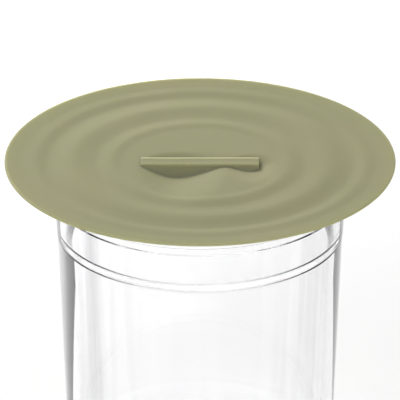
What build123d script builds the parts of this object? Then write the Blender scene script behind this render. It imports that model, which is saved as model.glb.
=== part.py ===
from build123d import *
import math
import os

# Clear glass jar with a wide silicone disc lid that lifts straight off.
# Frame: origin at the centre of the jar's base, +Z up, +X along the lid's grip bar.
# All lengths are in millimetres.

# Jar
jar_height = 96.0
rim_radius = 42.2
wall_slope = 2.5            # degrees from upright, wider at the rim
# Fine steps round the outside: (distance below the rim, how far the wall steps in)
outside_steps = ((6.1, 0.3), (8.4, 0.18), (19.6, 0.22))
step_height = 0.4
lip_wall = 2.6              # wall thickness in the rim band
body_wall = 4.4             # wall thickness under the shoulder
shoulder_depth = 17.6       # from the rim down to the shoulder inside, where the wall thickens
shoulder_fall = 6.0         # height of the sloping shoulder
base_thickness = 7.0
lip_round = 1.25
foot_round = 2.0
floor_round = 7.0
shoulder_round = 12.0

# Lid disc
lid_gap = 0.1               # clearance between the rim and the lid's flat underside
lid_radius = 56.0
lid_thickness = 2.0
edge_round = 0.7
ripple_height = 0.4         # crest or trough, above or below the disc's flat top
ripple_start = 0.38         # radii as fractions of the lid's radius
ripple_crests = (0.445, 0.645, 0.85)
ripple_troughs = (0.535, 0.765)
ripple_end = 0.92
dish_depth = 0.7            # the middle of the disc, inside the ripples, is gently dished

# Finger hollows beside the grip: (centre x, centre y, radius, depth below the disc's flat top)
finger_hollow = (-7.0, -4.0, 15.0, 4.2)
end_hollow = (15.2, -1.0, 7.0, 2.2)
hollow_wall = 1.8           # silicone left under the finger hollow, so it bulges underneath

# Grip: a straight bar that stands in the hollows, its top level with the disc's flat top
bar_length = 34.0
bar_width = 4.7
bar_round = 0.3

base_radius = rim_radius - jar_height * math.tan(math.radians(wall_slope))
lid_underside = jar_height + lid_gap
lid_top = lid_underside + lid_thickness

os.makedirs("parts", exist_ok=True)


def wall_radius(height):
    """Outer radius of the tapering wall at a height above the base."""
    return base_radius + height * math.tan(math.radians(wall_slope))


# Glass jar: one revolved section, with steps outside and a shoulder inside
shoulder_top = jar_height - shoulder_depth
shoulder_bottom = shoulder_top - shoulder_fall
cavity_base_radius = wall_radius(base_thickness) - body_wall
relief = sum(step for _, step in outside_steps)
outside = [(base_radius - relief, 0)]
for distance, step in reversed(outside_steps):
    height = jar_height - distance
    outside.append((wall_radius(height) - relief, height - step_height))
    relief -= step
    outside.append((wall_radius(height) - relief, height))

with BuildPart() as glass_jar:
    with BuildSketch(Plane.XZ) as jar_section:
        with BuildLine():
            Polyline(
                (0, 0),
                *outside,
                (rim_radius, jar_height),
                (rim_radius - lip_wall, jar_height),
                (wall_radius(shoulder_top) - lip_wall, shoulder_top),
                (wall_radius(shoulder_bottom) - body_wall, shoulder_bottom),
                (cavity_base_radius, base_thickness),
                (0, base_thickness),
                close=True,
            )
        make_face()
        corners = jar_section.vertices()
        fillet(corners.group_by(Axis.Y)[-1], lip_round)
        fillet(corners.filter_by_position(Axis.Y, 0, 0).sort_by(Axis.X)[-1], foot_round)
        fillet(
            corners.filter_by_position(Axis.Y, base_thickness, base_thickness).sort_by(Axis.X)[-1],
            floor_round,
        )
        shoulder_corners = corners.filter_by_position(Axis.Y, shoulder_bottom, shoulder_top)
        fillet(
            shoulder_corners.filter_by_position(Axis.X, 0, rim_radius - lip_wall), shoulder_round
        )
    revolve(axis=Axis.Z)
glass_jar.part.label = "glass_jar"
export_step(glass_jar.part, "parts/glass_jar.step")

# Lid disc: ripple rings on top, flat underside that bulges under the finger hollow
crests = [(ring * lid_radius, lid_top + ripple_height) for ring in ripple_crests]
troughs = [(ring * lid_radius, lid_top - ripple_height) for ring in ripple_troughs]
rings = sorted(crests + troughs)
dish_edge = (ripple_start * lid_radius, lid_top)
flat_rim = (ripple_end * lid_radius, lid_top)

with BuildPart() as lid_disc:
    with BuildSketch(Plane.XZ) as disc_section:
        with BuildLine():
            Spline((0, lid_top - dish_depth), dish_edge, tangents=[(1, 0), (1, 0)])
            Spline(dish_edge, *rings, flat_rim, tangents=[(1, 0), (1, 0)])
            Polyline(
                flat_rim,
                (lid_radius, lid_top),
                (lid_radius, lid_underside),
                (0, lid_underside),
                (0, lid_top - dish_depth),
            )
        make_face()
        fillet(disc_section.vertices().group_by(Axis.X)[-1], edge_round)
    revolve(axis=Axis.Z)

    # The bulge and both hollows are spherical caps: half of each cap's section, turned about its middle
    hollow_x, hollow_y, hollow_radius, hollow_depth = finger_hollow
    hollow_sphere = (hollow_radius**2 + hollow_depth**2) / (2 * hollow_depth)
    sphere_height = lid_top - hollow_depth + hollow_sphere
    bulge_bottom = lid_top - hollow_depth - hollow_wall
    bulge_radius = math.sqrt(
        (hollow_sphere + hollow_wall) ** 2 - (sphere_height - lid_underside) ** 2
    )
    bulge_plane = Plane(origin=(hollow_x, hollow_y, lid_underside), x_dir=(1, 0, 0), z_dir=(0, -1, 0))
    with BuildSketch(bulge_plane):
        with BuildLine():
            RadiusArc(
                (bulge_radius, 0),
                (0, bulge_bottom - lid_underside),
                hollow_sphere + hollow_wall,
            )
            Polyline((0, bulge_bottom - lid_underside), (0, 0), (bulge_radius, 0))
        make_face()
    revolve(axis=Axis((hollow_x, hollow_y, 0), (0, 0, 1)))

    for centre_x, centre_y, radius, depth in (finger_hollow, end_hollow):
        cap_plane = Plane(origin=(centre_x, centre_y, lid_top), x_dir=(1, 0, 0), z_dir=(0, -1, 0))
        with BuildSketch(cap_plane):
            with BuildLine():
                RadiusArc((radius, 0), (0, -depth), (radius**2 + depth**2) / (2 * depth))
                Polyline((0, -depth), (0, ripple_height), (radius, ripple_height), (radius, 0))
            make_face()
        revolve(axis=Axis((centre_x, centre_y, 0), (0, 0, 1)), mode=Mode.SUBTRACT)
lid_disc.part.label = "lid_disc"
export_step(lid_disc.part, "parts/lid_disc.step")

# Lid grip: the bar reaches down to the floor of the hollows, so its underside follows the disc
with BuildPart() as bar_blank:
    with BuildSketch(Plane.XY.offset(lid_top)):
        RectangleRounded(bar_length, bar_width, bar_round)
    extrude(amount=-hollow_depth)
    fillet(bar_blank.faces().sort_by(Axis.Z)[-1].edges(), bar_round / 2)
    add(lid_disc.part, mode=Mode.SUBTRACT)

with BuildPart() as lid_grip:
    add(bar_blank.solids().sort_by(Axis.Z)[-1])
lid_grip.part.label = "lid_grip"
export_step(lid_grip.part, "parts/lid_grip.step")
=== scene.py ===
"""Glass jar under a wide sage-green silicone lid: the looks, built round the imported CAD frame.

The object's lengths are in millimetres, turned into metres by MM where a mesh or a material needs
them. The studio's and the camera's are in metres.
"""
import math

import bmesh
import bpy
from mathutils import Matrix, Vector


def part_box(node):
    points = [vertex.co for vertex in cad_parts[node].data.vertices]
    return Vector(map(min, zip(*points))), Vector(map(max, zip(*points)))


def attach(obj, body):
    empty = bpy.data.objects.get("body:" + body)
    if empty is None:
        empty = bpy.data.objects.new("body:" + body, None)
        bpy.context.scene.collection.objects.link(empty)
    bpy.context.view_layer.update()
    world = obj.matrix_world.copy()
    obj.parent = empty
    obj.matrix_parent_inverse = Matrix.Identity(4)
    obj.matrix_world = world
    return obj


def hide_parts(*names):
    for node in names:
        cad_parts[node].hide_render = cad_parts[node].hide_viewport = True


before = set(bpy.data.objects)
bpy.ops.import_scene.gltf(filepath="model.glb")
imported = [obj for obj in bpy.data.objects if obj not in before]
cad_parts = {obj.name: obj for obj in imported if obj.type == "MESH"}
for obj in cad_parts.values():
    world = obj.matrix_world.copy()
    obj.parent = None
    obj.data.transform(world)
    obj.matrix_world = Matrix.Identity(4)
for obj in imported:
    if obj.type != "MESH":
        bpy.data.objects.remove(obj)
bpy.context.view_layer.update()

MM = 0.001

# Sizes read from the frame
JAR_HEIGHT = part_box("glass_jar")[1][2] / MM
LID_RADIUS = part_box("lid_disc")[1][0] / MM

# Jar
RIM_RADIUS = 42.2
WALL_SLOPE = math.tan(math.radians(2.5))
# Fine steps round the outside: (distance below the rim, how far in; negative steps go out)
STEPS = ((5.5, 0.70), (7.8, -0.45), (19.0, 0.20))
STEP_HEIGHT = 0.87  # as a share of how far the wall steps in or out
LIP_WALL = 2.6
BODY_WALL = 4.4
# The shoulder inside, where the wall thickens: distance below the rim, height, steps in its curve
LEDGE_DEPTH = 17.0
LEDGE_FALL = 4.5
LEDGE_STEPS = 24
BASE_THICKNESS = 7.0
FLOOR_ROUND = 7.0
FOOT_ROUND = 2.0
JAR_SEGMENTS = 288
JAR_FIRST_RING = 4.0

# Lid
LID_GAP = 0.1
LID_THICKNESS = 2.0
EDGE_THICKNESS = 0.8
TAPER_START = 46.0
LID_TOP = JAR_HEIGHT + LID_GAP + LID_THICKNESS
LID_SEGMENTS = 384
LID_STEP = 0.35
# Radii of the rings under the lid: a few out to the edge, then evenly spaced ones inwards
OUTER_UNDERSIDE = (54.5, 53.0, 51.0, 49.0, 47.0, 45.0)
INNER_UNDERSIDE = 44.0
UNDERSIDE_STEP = 0.8
# Ripples: (fraction of the lid's radius, height over the flat top), each joined to the next by a flank
# that is partly straight and partly half a cosine wave
RIPPLES = (
    (0.395, 0.0),
    (0.452, 0.22),
    (0.535, -0.17),
    (0.655, 0.36),
    (0.775, -0.22),
    (0.846, 0.11),
    (0.910, -0.10),
)
STRAIGHT_FLANK = 0.2
# The flange outside the jar's rim turns up a little: where it starts, as a fraction, how far it rises,
# and the power that it curves with
FLANGE_START = 0.79
FLANGE_RISE = 0.7
FLANGE_CURVE = 1.4
# Hollows: centre x, centre y, reach to the left, right, front and back, depth
HOLLOWS = (
    (0.0, -0.5, 20.0, 20.0, 11.0, 8.0, 0.35),
    (-7.0, -4.0, 12.0, 15.0, 26.0, 11.5, 2.2),
    (15.2, -1.0, 8.5, 7.5, 14.0, 6.5, 1.25),
)
HOLLOW_WALL = 1.8
# How much of the paler, painted-highlight colour the lid's rounded rim gets
RIM_PAINTED_HIGHLIGHT = 0.05

# Grip bar
BAR_LENGTH = 33.9
BAR_WIDTH = 4.7
BAR_RISE = 0.35
BAR_NEAR_ROUND = 0.25
BAR_FAR_ROUND = 0.45
# How far in from the bar's far edge its painted highlight reaches
BAR_PAINTED_HIGHLIGHT_EDGE = 0.6
BAR_END_ROUND = 0.3
BAR_DISH = 0.12
BAR_FOOT = 0.6
BAR_SECTIONS = 120
BAR_TOP_STEPS = 16
# The sweeping fillet that joins the bar's front face to the hollows: its height, as a share of the
# face's, its greatest height, how far it reaches for its height, where it starts to fade at the ends,
# its least height, its steps, and how far it's sunk into the lid
BAR_FILLET_SHARE = 0.8
BAR_FILLET = 2.5
BAR_FILLET_REACH = 2.0
BAR_FILLET_FADE = 2.5
BAR_FILLET_LEAST = 0.05
BAR_FILLET_STEPS = 16
BAR_FILLET_SINK = 0.02

# Silicone
SAGE = (0.276, 0.276, 0.160)
WARMER_SAGE = (0.288, 0.276, 0.163)
# The paler colour of the painted highlight on the lid's rim and along the bar's far edge
PAINTED_HIGHLIGHT_SAGE = (0.58, 0.56, 0.42)

# Glass. Painted shade on each face where it's seen at a slant, standing in for the dark refractions and
# reflections there: (slant, brightness)
OUTER_PAINTED_SHADE = ((0.0, 1.0), (0.590, 1.0), (0.600, 0.015), (0.70, 0.04), (0.82, 0.18), (1.0, 0.22))
INNER_PAINTED_SHADE = (
    (0.0, 1.0),
    (0.40, 1.0),
    (0.47, 0.76),
    (0.53, 0.66),
    (0.59, 0.76),
    (0.65, 1.0),
    (0.9, 1.0),
    (1.0, 0.6),
)
CLEAR = (1, 1, 1, 1)
COOL_TINT = 1.01
# How far in from the wall's outer face the cone lies that parts it from the inner one
CONE_INSET = 0.6 * LIP_WALL
# What is taken off the outer face's slant, so that less of the wall gets the painted shade: on the right,
# growing from one x to another, towards the foot, growing downwards from a height, and in the band under
# the rim
SLIMMER_RIGHT = 0.13
SLIMMER_RIGHT_FROM = -20.0
SLIMMER_RIGHT_TO = 40.0
SLIMMER_FOOT = 0.2176
SLIMMER_FOOT_TOP = 68.0
SLIMMER_BAND = 0.20
# How much of the inner face's painted shade is cleared on the right, growing from one x to another
CLEARER_RIGHT = 0.85
CLEARER_RIGHT_FROM = -5.0
CLEARER_RIGHT_TO = 20.0
# The grey of the painted streaks of shade in the glass
PAINTED_STREAK_GREY = (0.86, 0.86, 0.86)


# ---------------------------------------------------------------- mesh helpers
def link(name, mesh):
    piece = bpy.data.objects.new(name, mesh)
    bpy.context.scene.collection.objects.link(piece)
    return piece


def smooth(mesh):
    for face in mesh.polygons:
        face.use_smooth = True


def arc(centre_x, centre_z, radius, start, end, steps):
    """Points of a circular arc in the section plane; angles in degrees."""
    points = []
    for step in range(steps + 1):
        angle = math.radians(start + (end - start) * step / steps)
        points.append((centre_x + radius * math.cos(angle), centre_z + radius * math.sin(angle)))
    return points


def run(start, end, steps):
    """Evenly spaced points from start to end."""
    return [
        (start[0] + (end[0] - start[0]) * step / steps, start[1] + (end[1] - start[1]) * step / steps)
        for step in range(steps + 1)
    ]


def mark_painted_highlight(mesh, painted_highlight):
    """Mark at each vertex how much painted highlight it gets, a paler colour standing in for the
    backlight glowing through the silicone there.
    """
    layer = mesh.attributes.new("painted_highlight", "FLOAT", "POINT")
    for vertex, place in zip(mesh.vertices, layer.data):
        place.value = painted_highlight(vertex.co / MM)


def ring_mesh(name, rings, segments, height):
    """A closed skin through rings, which go from the axis on top, round the outside, back to the axis.

    Each ring is (radius, level); height(x, y, level) gives the point's height, in millimetres.
    """
    mesh = bpy.data.meshes.new(name)
    skin = bmesh.new()
    loops = []
    for radius, level in rings:
        if radius == 0:
            loops.append([skin.verts.new((0, 0, height(0, 0, level) * MM))])
            continue
        loop = []
        for index in range(segments):
            angle = 2 * math.pi * index / segments
            x = radius * math.cos(angle)
            y = radius * math.sin(angle)
            loop.append(skin.verts.new((x * MM, y * MM, height(x, y, level) * MM)))
        loops.append(loop)
    for upper, lower in zip(loops, loops[1:]):
        for index in range(segments):
            after = (index + 1) % segments
            if len(upper) == 1:
                skin.faces.new((upper[0], lower[index], lower[after]))
            elif len(lower) == 1:
                skin.faces.new((upper[index], lower[0], upper[after]))
            else:
                skin.faces.new((upper[index], lower[index], lower[after], upper[after]))
    bmesh.ops.recalc_face_normals(skin, faces=skin.faces)
    skin.to_mesh(mesh)
    skin.free()
    smooth(mesh)
    return mesh


# ---------------------------------------------------------------- material helpers
def new_material(name):
    material = bpy.data.materials.new(name)
    material.use_nodes = True
    return material, material.node_tree, material.node_tree.nodes["Principled BSDF"]


def noise(tree, scale, detail, stretch=(1, 1, 1)):
    """A noise texture in the piece's own coordinates, stretched along an axis if asked."""
    coordinates = tree.nodes.new("ShaderNodeTexCoord")
    mapping = tree.nodes.new("ShaderNodeMapping")
    mapping.inputs["Scale"].default_value = stretch
    texture = tree.nodes.new("ShaderNodeTexNoise")
    texture.inputs["Scale"].default_value = scale
    texture.inputs["Detail"].default_value = detail
    tree.links.new(coordinates.outputs["Object"], mapping.inputs["Vector"])
    tree.links.new(mapping.outputs["Vector"], texture.inputs["Vector"])
    return texture.outputs["Fac"]


def blend_colours(tree, factor, first, second, low=0.35, high=0.65):
    """A colour that goes from first to second as factor goes from low to high."""
    ramp = tree.nodes.new("ShaderNodeValToRGB")
    ramp.color_ramp.elements[0].position = low
    ramp.color_ramp.elements[0].color = (*first, 1)
    ramp.color_ramp.elements[1].position = high
    ramp.color_ramp.elements[1].color = (*second, 1)
    tree.links.new(factor, ramp.inputs["Fac"])
    return ramp.outputs["Color"]


def spread(tree, factor, low, high, start=0.3, end=0.7):
    """A number that goes from low to high as factor goes from start to end, and no further."""
    ranged = tree.nodes.new("ShaderNodeMapRange")
    ranged.inputs["From Min"].default_value = start
    ranged.inputs["From Max"].default_value = end
    ranged.inputs["To Min"].default_value = low
    ranged.inputs["To Max"].default_value = high
    tree.links.new(factor, ranged.inputs["Value"])
    return ranged.outputs["Result"]


def math_node(tree, operation, first, second):
    """A Math node; each input is a number or another node's output."""
    node = tree.nodes.new("ShaderNodeMath")
    node.operation = operation
    for socket, value in zip(node.inputs, (first, second)):
        if isinstance(value, (int, float)):
            socket.default_value = value
        else:
            tree.links.new(value, socket)
    return node.outputs[0]


def mix_colours(tree, factor, first, second, kind="MIX"):
    """A Mix node for colours; each input is a value or another node's output."""
    node = tree.nodes.new("ShaderNodeMix")
    node.data_type = "RGBA"
    node.blend_type = kind
    for name, value in (("Factor", factor), ("A", first), ("B", second)):
        if isinstance(value, (int, float, tuple)):
            node.inputs[name].default_value = value
        else:
            tree.links.new(value, node.inputs[name])
    return node.outputs["Result"]


def grey_ramp(tree, factor, stops):
    """A faintly cool grey that follows stops of (position, brightness)."""
    ramp = tree.nodes.new("ShaderNodeValToRGB")
    elements = ramp.color_ramp.elements
    while len(elements) < len(stops):
        elements.new(0.5)
    for element, (position, grey) in zip(elements, stops):
        element.position = position
        element.color = (grey, grey, grey * COOL_TINT, 1)
    tree.links.new(factor, ramp.inputs["Fac"])
    return ramp.outputs["Color"]


def silicone_material():
    """Matt sage silicone: slightly mottled, finely grained, and paler where its vertices are marked, a
    painted highlight.
    """
    material, tree, shader = new_material("sage_silicone")
    mottle = noise(tree, scale=28, detail=2)
    # Painted highlight: the paler colour wherever the vertices are marked
    painted_highlight = tree.nodes.new("ShaderNodeAttribute")
    painted_highlight.attribute_name = "painted_highlight"
    colour = blend_colours(tree, mottle, SAGE, WARMER_SAGE)
    colour = mix_colours(tree, painted_highlight.outputs["Fac"], colour, (*PAINTED_HIGHLIGHT_SAGE, 1))
    tree.links.new(colour, shader.inputs["Base Color"])
    roughness = spread(tree, noise(tree, scale=420, detail=4), low=0.50, high=0.62)
    tree.links.new(roughness, shader.inputs["Roughness"])
    shader.inputs["Specular IOR Level"].default_value = 0.01
    shader.inputs["Subsurface Weight"].default_value = 0.7
    shader.inputs["Subsurface Radius"].default_value = (1.0, 1.0, 0.6)
    shader.inputs["Subsurface Scale"].default_value = 0.0035
    bump = tree.nodes.new("ShaderNodeBump")
    bump.inputs["Strength"].default_value = 0.05
    bump.inputs["Distance"].default_value = 0.0002
    tree.links.new(noise(tree, scale=2600, detail=2), bump.inputs["Height"])
    tree.links.new(bump.outputs["Normal"], shader.inputs["Normal"])
    return material


def glass_material():
    """Clear glass with painted shade where the wall is seen edge on, standing in for the dark refractions
    and reflections there.
    """
    material, tree, shader = new_material("clear_glass")
    shader.inputs["Transmission Weight"].default_value = 1.0
    shader.inputs["IOR"].default_value = 1.5
    shader.inputs["Roughness"].default_value = 0.0

    layer_weight = tree.nodes.new("ShaderNodeLayerWeight")
    layer_weight.inputs["Blend"].default_value = 0.5
    slant = layer_weight.outputs["Facing"]
    coordinates = tree.nodes.new("ShaderNodeTexCoord")
    split = tree.nodes.new("ShaderNodeSeparateXYZ")
    tree.links.new(coordinates.outputs["Object"], split.inputs["Vector"])
    x, y, z = (split.outputs[axis] for axis in "XYZ")

    # Painted shade: the outer and inner faces' colour darkens where seen at a slant, with less of it on
    # the right, towards the foot and in the band under the rim
    x_square = math_node(tree, "MULTIPLY", x, x)
    y_square = math_node(tree, "MULTIPLY", y, y)
    from_axis = math_node(tree, "SQRT", math_node(tree, "ADD", x_square, y_square), 0)
    cone_foot = (wall_radius(0) - CONE_INSET) * MM
    cone = math_node(tree, "ADD", math_node(tree, "MULTIPLY", z, WALL_SLOPE), cone_foot)
    outside = math_node(tree, "GREATER_THAN", from_axis, cone)

    rightwards = spread(tree, x, 0, SLIMMER_RIGHT, SLIMMER_RIGHT_FROM * MM, SLIMMER_RIGHT_TO * MM)
    footwards = spread(tree, z, SLIMMER_FOOT, 0, 0, SLIMMER_FOOT_TOP * MM)
    in_band = math_node(tree, "GREATER_THAN", z, (JAR_HEIGHT - STEPS[-1][0]) * MM)
    slimmer = math_node(tree, "MAXIMUM", math_node(tree, "ADD", rightwards, footwards),
                        math_node(tree, "MULTIPLY", in_band, SLIMMER_BAND))
    outer = grey_ramp(tree, math_node(tree, "SUBTRACT", slant, slimmer), OUTER_PAINTED_SHADE)
    clearer = spread(tree, x, 0, CLEARER_RIGHT, CLEARER_RIGHT_FROM * MM, CLEARER_RIGHT_TO * MM)
    inner = mix_colours(tree, clearer, grey_ramp(tree, slant, INNER_PAINTED_SHADE), CLEAR)
    edge = mix_colours(tree, outside, inner, outer)

    # Painted streaks of grey shade, standing in for refraction through the glass's slight waviness, all
    # but gone where the wall faces the eye
    streaks = noise(tree, scale=200, detail=2, stretch=(1, 1, 0.02))
    streaks = blend_colours(tree, streaks, PAINTED_STREAK_GREY, CLEAR[:3], low=0.38, high=0.52)
    sideways = spread(tree, slant, low=0.1, high=1.0, start=0.15, end=0.5)
    clear = mix_colours(tree, sideways, CLEAR, streaks)
    colour = mix_colours(tree, 1.0, edge, clear, "MULTIPLY")
    tree.links.new(colour, shader.inputs["Base Color"])
    return material


# ---------------------------------------------------------------- jar
def wall_radius(height):
    """The plain wall's outer radius at a height above the foot."""
    return RIM_RADIUS - (JAR_HEIGHT - height) * WALL_SLOPE


def ease(share):
    """A smooth step: from 0 to 1, level at both ends."""
    share = min(1, max(0, share))
    return (3 - 2 * share) * share * share


def outside_radius(depth):
    """The outer radius at a distance below the rim, with the steps above it taken off."""
    radius = wall_radius(JAR_HEIGHT - depth)
    for place, relief in STEPS:
        radius -= relief * ease((depth - place) / (abs(relief) * STEP_HEIGHT))
    return radius


def outside_wall():
    """The section of the outside from under the lip to above the foot, with finer points at the steps."""
    band_spacing, body_spacing, past_step, step_points = 1.0, 1.5, 0.8, 8
    depths = []
    depth = LIP_WALL / 2 + 0.5
    for place, relief in STEPS:
        while depth < place - band_spacing:
            depths.append(depth)
            depth += band_spacing
        height = abs(relief) * STEP_HEIGHT
        depths += [place + height * part / step_points for part in range(-2, step_points + 3)]
        depth = place + past_step
    while depth < JAR_HEIGHT - FOOT_ROUND - 1:
        depths.append(depth)
        depth += body_spacing
    return [(outside_radius(depth), JAR_HEIGHT - depth) for depth in depths]


def jar_section():
    """The jar's section, from the middle of the floor inside, over the rim, to the middle of the foot.

    Straight runs stop just short of the rounds that they meet, so that no two points coincide.
    """
    ledge_top = JAR_HEIGHT - LEDGE_DEPTH
    ledge_low = ledge_top - LEDGE_FALL
    upper_inside = wall_radius(ledge_top) - LIP_WALL
    lower_inside = wall_radius(ledge_low) - BODY_WALL
    floor_inside = wall_radius(BASE_THICKNESS + FLOOR_ROUND) - BODY_WALL
    lip_round = LIP_WALL / 2
    foot_radius = outside_radius(JAR_HEIGHT)

    points = [(0, BASE_THICKNESS)]
    points += run((JAR_FIRST_RING, BASE_THICKNESS), (floor_inside - FLOOR_ROUND - 0.5, BASE_THICKNESS), 6)
    points += arc(floor_inside - FLOOR_ROUND, BASE_THICKNESS + FLOOR_ROUND, FLOOR_ROUND, -88, -3, 16)
    points += run(
        (floor_inside + 0.05, BASE_THICKNESS + FLOOR_ROUND + 1),
        (lower_inside - 0.05, ledge_low - 1.0),
        30,
    )
    for step in range(LEDGE_STEPS + 1):
        share = step / LEDGE_STEPS
        across = lower_inside + (upper_inside - lower_inside) * ease(share)
        points.append((across, ledge_low + LEDGE_FALL * share))
    points += run(
        (upper_inside + 0.05, ledge_top + 1),
        (RIM_RADIUS - LIP_WALL, JAR_HEIGHT - lip_round - 0.6),
        8,
    )
    points += arc(RIM_RADIUS - lip_round, JAR_HEIGHT - lip_round, lip_round, 176, 4, 16)
    points += outside_wall()
    points += arc(foot_radius - FOOT_ROUND, FOOT_ROUND, FOOT_ROUND, -4, -86, 10)
    points += run((foot_radius - FOOT_ROUND - 1.0, 0), (JAR_FIRST_RING, 0), 6)
    points.append((0, 0))
    return points


def make_jar(material):
    """The glass jar, which casts no shadow of its own."""
    mesh = ring_mesh("jar", jar_section(), JAR_SEGMENTS, lambda x, y, level: level)
    jar = link("jar", mesh)
    mesh.materials.append(material)
    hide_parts("glass_jar")
    jar.visible_shadow = False
    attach(jar, "jar")
    return jar


# ---------------------------------------------------------------- lid
def ripple(radius):
    """Height of the ripple rings and the rising flange at a radius."""
    fraction = radius / LID_RADIUS
    rise = FLANGE_RISE * max(0, (fraction - FLANGE_START) / (1 - FLANGE_START)) ** FLANGE_CURVE
    if fraction <= RIPPLES[0][0]:
        return 0
    for (inner, low), (outer, high) in zip(RIPPLES, RIPPLES[1:]):
        if fraction <= outer:
            share = (fraction - inner) / (outer - inner)
            wave = 0.5 - 0.5 * math.cos(math.pi * share)
            climb = STRAIGHT_FLANK * share + (1 - STRAIGHT_FLANK) * wave
            return rise + low + (high - low) * climb
    return rise + RIPPLES[-1][1]


def hollow(x, y):
    """How far the finger hollows sink the lid's top at a point."""
    sunk = 0
    for centre_x, centre_y, left, right, front, back, depth in HOLLOWS:
        along = left if x < centre_x else right
        across = front if y < centre_y else back
        reach = math.hypot((x - centre_x) / along, (y - centre_y) / across)
        if reach < 1:
            sunk += depth * (1 - reach * reach) ** 2
    return sunk


def lid_surface(x, y):
    """The height of the lid's top at a point."""
    return LID_TOP + ripple(math.hypot(x, y)) - hollow(x, y)


def lid_underside(x, y):
    """Flat where it lies on the rim, sunk under the finger hollows, tapering up towards the edge."""
    radius = math.hypot(x, y)
    flat = LID_TOP - LID_THICKNESS
    sunk = lid_surface(x, y) - HOLLOW_WALL
    taper = max(0, (radius - TAPER_START) / (LID_RADIUS - TAPER_START))
    flat += (LID_THICKNESS - EDGE_THICKNESS + FLANGE_RISE) * taper * taper
    return min(flat, sunk) if radius < TAPER_START else flat


def make_lid(material):
    """The disc: its rippled top, its rounded edge and its underside in one closed skin."""
    edge_round = EDGE_THICKNESS / 2
    edge_middle = LID_TOP + ripple(LID_RADIUS - edge_round) - edge_round
    top_rings = int((LID_RADIUS - 1.0) / LID_STEP) + 1
    bottom_rings = round(INNER_UNDERSIDE / UNDERSIDE_STEP) - 1
    top = [(step * LID_STEP, "top") for step in range(top_rings)]
    edge = arc(LID_RADIUS - edge_round, edge_middle, edge_round, 80, -80, 8)
    bottom = [(radius, "bottom") for radius in OUTER_UNDERSIDE]
    bottom += [(INNER_UNDERSIDE - step * UNDERSIDE_STEP, "bottom") for step in range(bottom_rings)]
    bottom.append((0, "bottom"))

    def height(x, y, level):
        if level == "top":
            return lid_surface(x, y)
        if level == "bottom":
            return lid_underside(x, y)
        return level

    mesh = ring_mesh("lid", top + edge + bottom, LID_SEGMENTS, height)
    edge_start = LID_RADIUS - edge_round * 1.01
    # Painted highlight on the lid's rounded rim
    mark_painted_highlight(mesh, lambda place: RIM_PAINTED_HIGHLIGHT if place.xy.length > edge_start else 0.0)
    lid = link("lid", mesh)
    mesh.materials.append(material)
    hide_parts("lid_disc")
    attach(lid, "lid")
    return lid


def bar_outline():
    """The bar's section as (across, height over its top): tight near edge, dished top, wider far edge."""
    half = BAR_WIDTH / 2
    near = arc(-half + BAR_NEAR_ROUND, -BAR_NEAR_ROUND, BAR_NEAR_ROUND, 180, 90, 4)
    far = arc(half - BAR_FAR_ROUND, -BAR_FAR_ROUND, BAR_FAR_ROUND, 90, 0, 6)
    first, last = near[-1][0], far[0][0]
    top = []
    for step in range(1, BAR_TOP_STEPS):
        share = step / BAR_TOP_STEPS
        top.append((first + (last - first) * share, -BAR_DISH * math.sin(math.pi * share) ** 1.5))
    return near + top + far


def make_bar(material):
    """The straight grip bar, its foot buried in the lid's hollows."""
    half_width, half_length = BAR_WIDTH / 2, BAR_LENGTH / 2
    top = LID_TOP + BAR_RISE
    ends = (0.0, 0.05, 0.15, BAR_END_ROUND)
    inner = half_length - BAR_END_ROUND
    places = [-half_length + end for end in ends]
    places += [-inner + 2 * inner * step / BAR_SECTIONS for step in range(1, BAR_SECTIONS)]
    places += [half_length - end for end in reversed(ends)]
    outline = bar_outline()
    mesh = bpy.data.meshes.new("grip_bar")
    skin = bmesh.new()
    sections = []
    for x in places:
        inset = max(0, abs(x) - inner)
        pull = BAR_END_ROUND - math.sqrt(max(0, BAR_END_ROUND**2 - inset**2))
        foot = lid_surface(x, 0) - BAR_FOOT
        narrow = 1 - pull / half_width
        front = half_width * narrow
        face_height = max(0, top - lid_surface(x, -front) - BAR_NEAR_ROUND - pull)
        fillet = min(BAR_FILLET, BAR_FILLET_SHARE * face_height)
        fillet *= math.sqrt(min(1, (half_length - abs(x)) / BAR_FILLET_FADE))
        fillet = max(fillet, BAR_FILLET_LEAST)
        reach = fillet * BAR_FILLET_REACH
        ring = [(-front - reach, foot)]
        for step in range(BAR_FILLET_STEPS + 1):
            angle = math.pi / 2 * step / BAR_FILLET_STEPS
            y = -front - reach * (1 - math.sin(angle))
            ring.append((y, lid_surface(x, y) + fillet * (1 - math.cos(angle)) - BAR_FILLET_SINK))
        ring += [(across * narrow, top + height - pull) for across, height in outline]
        ring.append((half_width * narrow, foot))
        sections.append([skin.verts.new((x * MM, y * MM, z * MM)) for y, z in ring])
    for before, after in zip(sections, sections[1:]):
        for index in range(len(before)):
            following = (index + 1) % len(before)
            skin.faces.new((before[index], after[index], after[following], before[following]))
    skin.faces.new(sections[0])
    skin.faces.new(sections[-1])
    bmesh.ops.recalc_face_normals(skin, faces=skin.faces)
    skin.to_mesh(mesh)
    skin.free()
    smooth(mesh)
    # Painted highlight along the top of the bar's far edge, standing in for the backlight catching it
    highlight_from, highlight_above = half_width - BAR_PAINTED_HIGHLIGHT_EDGE, top - BAR_FAR_ROUND
    mark_painted_highlight(mesh, lambda place: float(place.y > highlight_from and place.z > highlight_above))
    bar = link("grip_bar", mesh)
    mesh.materials.append(material)
    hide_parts("lid_grip")
    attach(bar, "lid")
    return bar


# ---------------------------------------------------------------- studio
def make_floor():
    floor_size = 8.0
    mesh = bpy.data.meshes.new("studio_floor")
    corners = [(-floor_size, -floor_size, 0), (floor_size, -floor_size, 0)]
    corners += [(floor_size, floor_size, 0), (-floor_size, floor_size, 0)]
    mesh.from_pydata(corners, [], [(0, 1, 2, 3)])
    floor = link("studio_floor", mesh)
    material, _, shader = new_material("pale_floor")
    shader.inputs["Base Color"].default_value = (0.79, 0.79, 0.79, 1)
    shader.inputs["Roughness"].default_value = 0.9
    mesh.materials.append(material)


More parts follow.
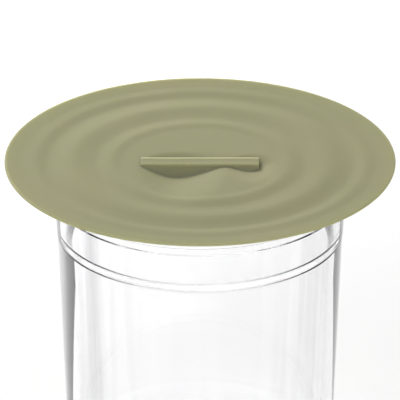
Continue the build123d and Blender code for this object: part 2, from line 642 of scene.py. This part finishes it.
def make_world():
    """A white world, bright at the horizon and dimmer overhead."""
    horizon, overhead = 1.0, 0.25
    world = bpy.data.worlds.new("studio")
    bpy.context.scene.world = world
    world.use_nodes = True
    tree = world.node_tree
    coordinates = tree.nodes.new("ShaderNodeTexCoord")
    split = tree.nodes.new("ShaderNodeSeparateXYZ")
    tree.links.new(coordinates.outputs["Generated"], split.inputs["Vector"])
    strength = spread(tree, split.outputs["Z"], horizon, overhead, 0.0, 1.0)
    tree.links.new(strength, tree.nodes["Background"].inputs["Strength"])
    tree.nodes["Background"].inputs["Color"].default_value = (1, 1, 1, 1)


def place_towards(thing, target, azimuth, elevation, distance):
    """Put a lamp or the camera at a distance from the target, and turn it to face the target."""
    azimuth, elevation = math.radians(azimuth), math.radians(elevation)
    flat = math.cos(elevation)
    offset = Vector((math.cos(azimuth) * flat, math.sin(azimuth) * flat, math.sin(elevation)))
    thing.location = target + offset * distance
    thing.rotation_euler = (-offset).to_track_quat("-Z", "Y").to_euler()


def make_light(name, azimuth, elevation, distance, size, power):
    """A round lamp that shines on the lid from an azimuth and an elevation, in degrees."""
    lamp = bpy.data.lights.new(name, "AREA")
    lamp.shape = "DISK"
    lamp.size = size
    lamp.energy = power
    light = bpy.data.objects.new(name, lamp)
    bpy.context.scene.collection.objects.link(light)
    place_towards(light, Vector((0, 0, LID_TOP * MM)), azimuth, elevation, distance)
    light.visible_camera = False
    light.visible_transmission = False


def make_camera():
    """A long lens, looking down on the lid at the angle its outline shows."""
    elevation = 25.4
    distance = 4.0
    frame_width = 0.11465
    drop = 0.01212
    camera = bpy.data.cameras.new("camera")
    camera.sensor_width = 36
    camera.lens = camera.sensor_width * distance / frame_width
    camera.clip_end = 100
    view = bpy.data.objects.new("camera", camera)
    bpy.context.scene.collection.objects.link(view)
    place_towards(view, Vector((0, 0, LID_TOP * MM - drop)), -90, elevation, distance)
    bpy.context.scene.camera = view


silicone = silicone_material()
make_jar(glass_material())
make_lid(silicone)
make_bar(silicone)
make_floor()
make_world()
make_light("key_light", azimuth=115, elevation=28, distance=0.7, size=0.3, power=5.25)
make_light("fill_light", azimuth=268, elevation=17, distance=0.5, size=0.5, power=1.15)
make_camera()
bpy.context.scene.view_settings.view_transform = "Standard"
bpy.context.scene.cycles.max_bounces = 20
bpy.context.scene.cycles.transmission_bounces = 20
bpy.context.scene.cycles.glossy_bounces = 10
